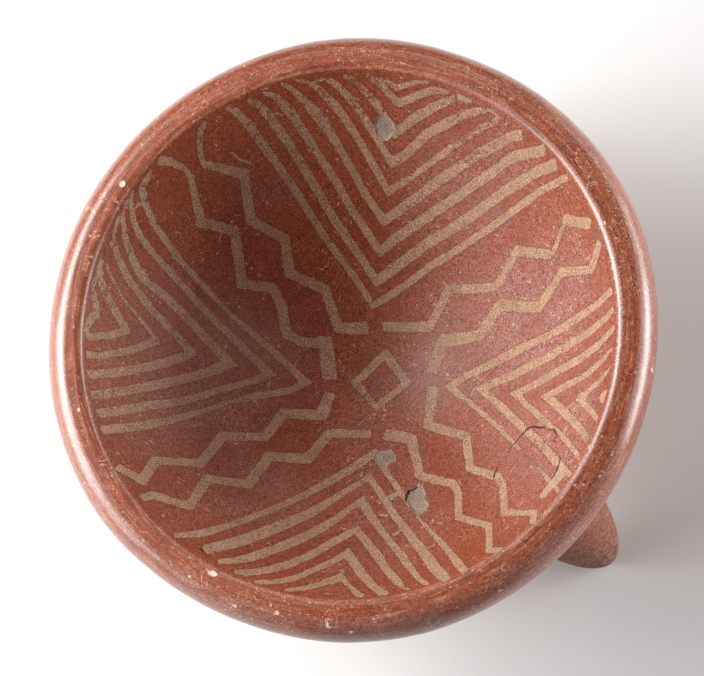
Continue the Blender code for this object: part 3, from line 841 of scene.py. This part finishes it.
for name, values in {
    "paint": paint, "bare": bare, "crack": crack, "mark": mark, "chip": chips,
    "worn": soft_spots(points, WORN),
    # pale bloom: partly dust, partly painted sheen and painted light
    "haze": np.where(hollow_side, soft_spots(points, DUST_AND_SHEEN_SPOTS), soft_spots(points, RIM_BLOOM_AND_PAINTED_LIGHT) * rim_side),
    "lip": np.clip((out / MM - 113.6) / 0.5, 0, 1) * (spots[:, 2] > lip_foot),
    # the bead's pale line: partly wear, partly a painted highlight
    "ridge": ridge_wear_and_highlight_band * (spots[:, 2] > BEAD_TOP - 3 * MM),
    "outside": np.where(hollow_side, 0.0, below_lip),
    "leg": np.clip(1 - leg_gap / (3 * MM), 0, 1) * worn_leg * (off_wall(spots) > 1 * MM),
}.items():
    attribute(name, values)
print("painted points:", int((paint < 0).sum()), "of", int(hollow_side.sum()), "inside")

# %% [markdown]
# ## A way to write materials
# A material is a net of nodes, and its arithmetic is easiest to read as arithmetic. This class wraps
# one socket, so that Python's own signs add Math nodes.


# %% Shader arithmetic
class Wire:
    """One socket of a material's nodes, which can be added, scaled and compared."""

    tree = None

    def __init__(self, socket):
        self.socket = socket

    @classmethod
    def node(cls, kind, settings=None, inputs=None, output=0):
        """Adds a node: its type, its settings, and the values or wires of its sockets."""
        made = cls.tree.nodes.new(kind)
        for name, value in (settings or {}).items():
            if name == "stops":
                ramp = made.color_ramp
                while len(ramp.elements) < len(value):
                    ramp.elements.new(0.5)
                for stop, (position, colour) in zip(ramp.elements, value):
                    stop.position, stop.color = position, (*colour, 1)
            else:
                setattr(made, name, value)
        for name, value in (inputs or {}).items():
            if isinstance(value, Wire):
                cls.tree.links.new(value.socket, made.inputs[name])
            else:
                made.inputs[name].default_value = value
        return cls(made.outputs[output])

    def maths(self, operation, *values, clamp=False):
        return Wire.node("ShaderNodeMath", {"operation": operation, "use_clamp": clamp},
                         dict(enumerate(values)))

    def __add__(self, other):
        return self.maths("ADD", self, other)

    def __sub__(self, other):
        return self.maths("SUBTRACT", self, other)

    def __mul__(self, other):
        return self.maths("MULTIPLY", self, other)

    def __rsub__(self, other):
        return self.maths("SUBTRACT", other, self)

    __radd__, __rmul__ = __add__, __mul__

    def clamp(self):
        return self.maths("ADD", self, 0.0, clamp=True)

    def soft(self, low, high):
        """0 at low, 1 at high, with a soft step between them; low may be the greater."""
        return Wire.node("ShaderNodeMapRange", {"interpolation_type": "SMOOTHSTEP"},
                         {"Value": self, "From Min": low, "From Max": high})


def read(name, output=2):
    """An attribute of the mesh."""
    return Wire.node("ShaderNodeAttribute", {"attribute_name": name}, output=output)


def grain(vector, scale, detail=2.0, roughness=0.5, distortion=0.0):
    """Noise at a scale in waves per metre, from 0 to 1."""
    return Wire.node("ShaderNodeTexNoise", {}, {"Vector": vector, "Scale": scale, "Detail": detail,
                                                "Roughness": roughness, "Distortion": distortion})


def stretched(vector, sizes, turn=(0, 0, 0)):
    """The same place, turned and measured in long and short steps, so that noise on it becomes streaks."""
    return Wire.node("ShaderNodeMapping", {"vector_type": "TEXTURE"},
                     {"Vector": vector, "Scale": sizes, "Rotation": turn})


def hairlines(vector, width):
    """Thin lines where noise passes its middle value."""
    return (grain(vector, 1.0, 1, 0.4) - 0.5).maths("ABSOLUTE").soft(width, width * 0.3)


def cells(vector, scale=1.0):
    """Random cells: the distance to a cell's middle, and two numbers drawn for each cell."""
    cell = Wire.node("ShaderNodeTexVoronoi", {}, {"Vector": vector, "Scale": scale})
    drawn = Wire.node("ShaderNodeSeparateColor", {}, {0: Wire(cell.socket.node.outputs["Color"])})
    return cell, drawn, Wire(drawn.socket.node.outputs[1])


def dots(cell, luck, size, share):
    """Spots in random cells: a share of the cells has one, up to a size in cells."""
    return ((luck - (1 - share)) * (size / share) - cell).soft(0.0, 0.07)


def blend(share, first, second, kind="MIX"):
    """A colour between two colours."""
    full = {6: first if isinstance(first, Wire) else (*first, 1),
            7: second if isinstance(second, Wire) else (*second, 1)}
    return Wire.node("ShaderNodeMix", {"data_type": "RGBA", "blend_type": kind}, {0: share, **full}, 2)


def layered(colour, *layers):
    """A colour with others over it, each given as its share and itself, the last one on top."""
    for share, layer in layers:
        colour = blend(share, colour, layer)
    return colour


def shaded(colour, share, dark, pale):
    """A colour multiplied by something between a dark and a pale one."""
    return blend(1.0, colour, blend(share, dark, pale), "MULTIPLY")


def new_material(name):
    """An empty material whose shader is ready for wires."""
    material = bpy.data.materials.new(name)
    material.use_nodes = True
    Wire.tree = material.node_tree
    return material, material.node_tree.nodes["Principled BSDF"]


# %% [markdown]
# ## Clay, slip and paint
# The red slip was burnished with a pebble, so it has a low sheen with fine streaks, dark and pale
# flecks, and a pale bloom in the hollow that is partly dust from the ground and partly painted sheen
# where the lamps fall. The cream paint lies over it, thin and dry, with ragged edges. Where flakes
# came off, grey filler shows, and at the lip's chips the buff clay.
# One material does all this, because the finishes run into each other on one piece of clay.

# %% Grains and streaks
clay, shader = new_material("burnished_red_slip_with_cream_paint")
place = Wire.node("ShaderNodeTexCoord", output=3)
paint, bare, crack, mark, chip, worn, haze, lip, outside, leg, ridge = (
    read(name) for name in "paint bare crack mark chip worn haze lip outside leg ridge".split())
brush = read("brush", 1)
cloud, patch, mottle, fleck, speck, dust = (
    grain(place, *values) for values in ((16, 3, 0.55), (48, 3, 0.6), (140, 4, 0.6), (520, 3, 0.6),
                                         (980, 2, 0.6), (1900, 1, 0.5)))
streak, rim_line, dry = (grain(vector, 1.0, 3, 0.6) for vector in (
    stretched(place, (0.0011, 0.017, 0.0033), (0.2, 0.3, 0.7)),
    read("ring", 1), stretched(brush, (2.9, 0.31, 1.0))))
soil = grain(place, 2300, 1, 0.6) * 0.7 + dust * 0.3 - 0.5
soil = soil * (0.45 + patch.soft(0.36, 0.64) * 0.9) * (1 - lip * 0.45)
print("nodes for grains and streaks:", len(clay.node_tree.nodes))

# %% [markdown]
# ## Specks, scratches and nicks
# Use left pale specks, long hairline scratches and short nicks. They could be painted on a picture.
# Here cells and thin bands of noise make them, so they are sharp from near as well.

# %% Specks and scratches
push = Wire.node("ShaderNodeVectorMath", {"operation": "SCALE"},
                 {0: Wire(grain(place, 700, 2).socket.node.outputs["Color"]), "Scale": 0.0022})
ragged = Wire.node("ShaderNodeVectorMath", {"operation": "ADD"}, {0: place, 1: push})
cell, luck, other_luck = cells(ragged, 430)
pale_dots = dots(cell, luck, 0.32, 0.5) * patch.soft(0.41, 0.57)
dark_dots = dots(cell, other_luck, 0.34, 0.18)
small_dots = dots(*cells(ragged, 640)[:2], 0.36, 0.6)       # for the lip and the legs
lip_dots = small_dots * lip * mottle.soft(0.42, 0.58)
scratched = sum(hairlines(stretched(place, sizes, (0, 0, turn)), width) * where
                for sizes, turn, width, where in (
                    ((0.05, 0.0034, 0.05), 0.5, 0.050, cloud.soft(0.46, 0.54)),
                    ((0.04, 0.0030, 0.04), -0.9, 0.050, patch.soft(0.50, 0.58)),
                    ((0.03, 0.0040, 0.03), 1.9, 0.045, mottle.soft(0.52, 0.60))))
long_cells = [cells(stretched(ragged, (long, 0.0011, 0.006), (0, 0, turn)))
              for long, turn in ((0.011, 0.5), (0.008, -0.9), (0.009, 1.9))]
nicks = sum(dots(cell, luck, 0.30, 0.13) for cell, luck, _ in long_cells)
cuts = sum(dots(cell, luck, 0.28, 0.14) for cell, _, luck in long_cells[1:])
scratched = (scratched * fleck.soft(0.36, 0.5) + nicks * (0.35 + patch.soft(0.45, 0.6) * 0.65)).clamp()
print("nodes with specks and scratches:", len(clay.node_tree.nodes))

# %% [markdown]
# ## The red slip
# The slip is iron-rich clay, thinner and darker in places, with a greyish bloom that is partly dust and
# partly painted sheen and light, and, on the lip, the fine rings that a wet hand left. The pale line on
# the bead is partly worn slip and partly a painted highlight. Layer after layer is blended over one red,
# from broad to fine.

# %% The red slip
# the bloom is partly dust and partly painted sheen where the lamps fall, and on the lip's front partly
# painted light from the floor
dust_bloom_and_sheen = (haze * (mottle * 0.6 + patch * 0.4).soft(0.32, 0.66) * 0.50 + haze * 0.20).clamp()
slip = layered(
    blend(cloud.soft(0.3, 0.7), (0.270, 0.058, 0.023), (0.315, 0.076, 0.032)),
    (mottle.soft(0.42, 0.72) * 0.40, (0.19, 0.046, 0.024)),
    (patch.soft(0.50, 0.68) * 0.30, (0.36, 0.115, 0.055)),
    # a pale greyish veil: partly dust, partly painted sheen
    (dust_bloom_and_sheen, (0.33, 0.18, 0.155)),
    (lip * rim_line.soft(0.51, 0.66) * 0.60, (0.46, 0.20, 0.125)),
    (lip * rim_line.soft(0.49, 0.34) * 0.50, (0.14, 0.034, 0.018)),
    # the pale line on the bead: partly worn slip, partly a painted highlight
    ((ridge * (0.15 + mottle * 0.5)).clamp(), (0.46, 0.21, 0.14)))
slip = shaded(slip, soil.soft(-0.10, 0.10), (0.45, 0.38, 0.35), (1.60, 1.72, 1.80))
slip = shaded(slip, fleck.soft(0.36, 0.64), (0.80, 0.75, 0.72), (1.20, 1.25, 1.28))
slip = layered(
    slip,
    (fleck.soft(0.58, 0.68) * 0.55, (0.10, 0.028, 0.016)),
    (scratched * 0.85, (0.66, 0.38, 0.27)),
    ((pale_dots + lip_dots).clamp() * 0.85, (0.64, 0.37, 0.23)),
    (dark_dots * 0.70, (0.08, 0.024, 0.015)),
    (cuts * 0.45, (0.09, 0.025, 0.015)))
print("nodes with the slip:", len(clay.node_tree.nodes))

# %% [markdown]
# ## The cream paint
# The brush left ragged edges and dry streaks, and wear took the paint off in spots. The distance to
# a stroke's edge is roughened with noise before it is cut, so each edge is ragged at every size.

# %% The cream paint
edge = paint + (speck - 0.5) * 0.9 + (grain(place, 330, 2) - 0.5) * 1.0 + (mottle - 0.5) * 0.5
gone = (grain(place, 460, 4, 0.7) * 0.9 + dry * 0.4 + worn * 0.25).soft(0.76, 0.84)
painted = edge.soft(0.2, -0.2) * (1 - gone * 0.85)
crazing = hairlines(stretched(brush, (2.6, 11.0, 1.0)), 0.020) * mottle.soft(0.50, 0.58)
cream = blend(mottle.soft(0.35, 0.65), (0.45, 0.265, 0.170), (0.385, 0.22, 0.135))
cream = blend(dry.soft(0.5, 0.75) * 0.30, cream, (0.30, 0.14, 0.08))
cream = shaded(cream, soil.soft(-0.10, 0.10), (0.46, 0.41, 0.37), (1.50, 1.56, 1.60))
cream = layered(
    cream,
    (fleck.soft(0.55, 0.66) * 0.50, (0.21, 0.13, 0.075)),
    (dark_dots * 0.7, (0.13, 0.075, 0.045)),
    ((crazing * 0.75 + cuts * 0.6 * mottle.soft(0.44, 0.56)).clamp(), (0.12, 0.05, 0.03)))
slip = blend(edge.soft(0.7, 0.1) * 0.38, slip, (0.12, 0.03, 0.017))
colour = blend(painted, slip, cream)
print("nodes with the paint:", len(clay.node_tree.nodes))

# %% [markdown]
# ## Scuffs, filler, chips, legs and cracks
# Where the slip is lost the buff clay shows, the flakes are filled with grey, and the legs are
# rougher and crusted. Each of these covers what lies under it, so they are blended on in that order.

# %% Scuffs, filler, chips, legs and cracks
soiled = soil.soft(-0.15, 0.15)
scuff = (mark + (speck - 0.5) * 1.2).soft(0.25, -0.25)
flaked = (bare + (fleck - 0.5) * 0.9).soft(0.12, -0.12)
chipped = (chip + (speck - 0.5) * 1.2).soft(0.1, -0.1)
cracked = (crack + (dust - 0.5) * 0.25).soft(0.12, -0.1)
pale_specks = (grain(place, 210, 4, 0.7).soft(0.50, 0.66) * grain(place, 1250, 2, 0.5).soft(0.58, 0.68)
               * (lip * 0.7 + outside * 0.6 + leg * 0.5).clamp())
filler = blend(mottle.soft(0.35, 0.65), (0.35, 0.26, 0.195), (0.27, 0.20, 0.145))
crust = grain(place, 560, 4, 0.75)
legs_clay = layered(
    blend(crust.soft(0.40, 0.60), (0.075, 0.030, 0.021), (0.36, 0.17, 0.12)),
    (mottle.soft(0.50, 0.64) * 0.5, (0.17, 0.115, 0.075)),
    (small_dots * patch.soft(0.44, 0.56) * 0.9, (0.66, 0.50, 0.38)))
colour = layered(
    colour,
    (scuff * 0.8, blend(soiled, (0.28, 0.185, 0.12), (0.58, 0.43, 0.31))),
    (flaked, shaded(filler, soiled, (0.5, 0.5, 0.5), (1.55, 1.6, 1.6))),
    (chipped, blend(soiled, (0.50, 0.36, 0.26), (0.85, 0.72, 0.58))),
    (pale_specks, (0.62, 0.40, 0.28)),
    (leg * 0.85, legs_clay),
    (cracked * 0.9, (0.03, 0.014, 0.010)))
print("nodes with the damage:", len(clay.node_tree.nodes))

# %% [markdown]
# ## Sheen and relief
# Burnishing gives a soft gloss, most on the lip, and bloom, paint, filler and crust are duller. A
# little relief in the shading breaks the highlights up, as pebble strokes do. Every texture in it is
# worked out three times for each sample, so it holds only the few that show.

# %% Sheen and relief
SHEEN = {"IOR": 1.44, "Coat Roughness": 0.29, "Coat IOR": 1.55}
rough = (0.38 - lip * 0.06 + (mottle - 0.5) * 0.16 + (streak - 0.5) * 0.12 + dust_bloom_and_sheen * 0.30 + haze * 0.22
         + painted * 0.18 + flaked * 0.4 + chipped * 0.4 + leg * 0.3 + outside * 0.10 + cracked * 0.5)
height = (fleck * 0.08 + speck * 0.12 + dust * 0.06 + mottle * 0.10 + streak * 0.11
          + paint.soft(0.2, -0.2) * 0.10 + lip * rim_line * 0.12 + flaked * speck * 0.5
          + leg * crust * 0.8 - cracked * 0.5)
bump = Wire.node("ShaderNodeBump", {}, {"Strength": 0.55, "Distance": 0.5 * MM, "Height": height})
for name, wire in (("Base Color", colour), ("Roughness", rough.clamp()), ("Normal", bump),
                   ("Coat Weight", lip * (1 - outside) * (1 - chipped))):
    clay.node_tree.links.new(wire.socket, shader.inputs[name])
for name, value in SHEEN.items():
    shader.inputs[name].default_value = value
print("nodes in the clay:", len(clay.node_tree.nodes))

# %% The clay goes on
bowl.data.materials.clear()
bowl.data.materials.append(clay)
hold(bowl)
bpy.ops.object.shade_smooth()
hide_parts("tripod_bowl")
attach(bowl, "root")
bowl.data.calc_loop_triangles()
print("bowl:", len(bowl.data.polygons), "faces,", len(bowl.data.loop_triangles), "triangles")

# %% [markdown]
# ## The studio
# The bowl stands on a plain pale sheet. Soft boxes on the photograph's left light the right side of
# the hollow and leave the left side dark. Low ones on the right draw the highlights of the lip, and
# weak ones fill in. They are all one size, so a table of directions and powers is enough.

# %% Floor and lamps
bpy.ops.object.select_all(action="DESELECT")
bpy.ops.mesh.primitive_plane_add(size=8)
floor = bpy.context.object
floor.name = "pale_floor"
paper, paper_shader = new_material("matt_pale_paper")
spot = Wire.node("ShaderNodeTexCoord", output=3)
tone = blend(grain(spot, 3, 2).soft(0.3, 0.7), (0.80, 0.80, 0.79), (0.77, 0.77, 0.765))
paper.node_tree.links.new(tone.socket, paper_shader.inputs["Base Color"])
paper_shader.inputs["Roughness"].default_value = 0.85
floor.data.materials.append(paper)

world = bpy.data.worlds.new("pale_studio")
world.use_nodes = True
sky = world.node_tree.nodes["Background"].inputs
sky["Color"].default_value, sky["Strength"].default_value = (0.9, 0.92, 0.95, 1), 0.03
bpy.context.scene.world = world
bpy.context.scene.view_settings.view_transform = "Standard"

LAMP_DISTANCE, LAMP_WIDTH, LAMP_HEIGHT = 1.3, 0.70, 0.60
MIDDLE = Vector((0, 0, 0.12))
to_right = turned @ Vector((1, 0, 0))
to_right = Vector((to_right.x, to_right.y, 0)).normalized()
to_top = Vector((0, 0, 1)).cross(to_right)


def soft_box(name, turn, lift, power):
    """A lamp round the bowl: its turn from the photograph's right, its lift above the rim, in degrees."""
    turn, lift = math.radians(turn), math.radians(lift)
    flat = to_right * math.cos(turn) + to_top * math.sin(turn)
    away = flat * math.cos(lift) + Vector((0, 0, math.sin(lift)))
    hold()
    bpy.ops.object.light_add(type="AREA", location=MIDDLE + away * LAMP_DISTANCE)
    lamp = bpy.context.object
    lamp.name = name
    lamp.data.shape = "RECTANGLE"
    lamp.data.size, lamp.data.size_y = LAMP_WIDTH, LAMP_HEIGHT
    lamp.data.energy = power
    lamp.rotation_mode = "QUATERNION"
    lamp.rotation_quaternion = (-away).to_track_quat("-Z", "Y")


LAMPS = [("left_box", 178, 34, 8.5), ("left_low_box", 178, 16, 6.3), ("near_left_box", 200, 25, 6.3),
         ("far_left_box", 160, 40, 14.5), ("far_box", 90, 45, 1.6), ("far_right_box", 45, 12, 2.2),
         ("right_box", 5, 25, 3.8), ("right_low_box", 2, 2, 14.0), ("right_far_low_box", 22, 2, 5.5)]
for lamp in LAMPS:
    soft_box(*lamp)
